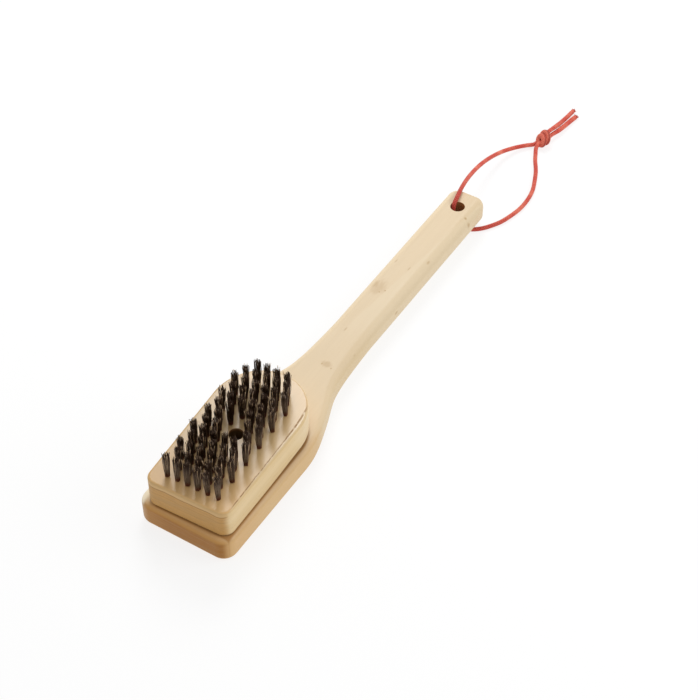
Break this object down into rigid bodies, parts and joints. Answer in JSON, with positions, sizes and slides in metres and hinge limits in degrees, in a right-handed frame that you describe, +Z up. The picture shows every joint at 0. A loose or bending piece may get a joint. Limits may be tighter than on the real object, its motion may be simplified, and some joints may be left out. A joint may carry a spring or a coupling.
{
  "type": "grill brush",
  "caption": "Long-handled grill brush with a screwed-on block of wire tufts and a cord loop for hanging.",
  "frame": {"origin": "on the floor under the middle of the rigid brush's box, cord left out", "axes": "+Z up with the tufts uppermost, +X along the board from the head to the hang hole, +Y to the left seen from the head"},
  "size_m": [0.4313, 0.0582, 0.0525],
  "materials": {
    "board_bamboo": "smooth satin bamboo",
    "block_bamboo": "sanded bamboo",
    "tufted_ply": "bamboo top ply with dark wire tufts",
    "screw_steel": "plain steel",
    "cord_red": "matt red cord"
  },
  "bodies": {
    "root": {"board": "board_bamboo", "block_bottom_ply": "block_bamboo", "block_core_ply": "block_bamboo", "block_screw_collar": "block_bamboo", "block_screw": "screw_steel", "bristle_row_01": "tufted_ply", "bristle_row_02": "tufted_ply", "bristle_row_03": "tufted_ply", "bristle_row_04": "tufted_ply", "bristle_row_05": "tufted_ply", "bristle_row_06": "tufted_ply", "bristle_row_07_left": "tufted_ply", "bristle_row_07_right": "tufted_ply", "bristle_row_08_left": "tufted_ply", "bristle_row_08_right": "tufted_ply", "bristle_row_09": "tufted_ply", "bristle_row_10": "tufted_ply", "bristle_row_11": "tufted_ply", "bristle_row_12": "tufted_ply", "bristle_row_13": "tufted_ply", "hang_cord_upper": "cord_red", "hang_cord_lower": "cord_red", "cord_knot": "cord_red", "cord_tail_1": "cord_red", "cord_tail_2": "cord_red"}
  },
  "joints": []
}
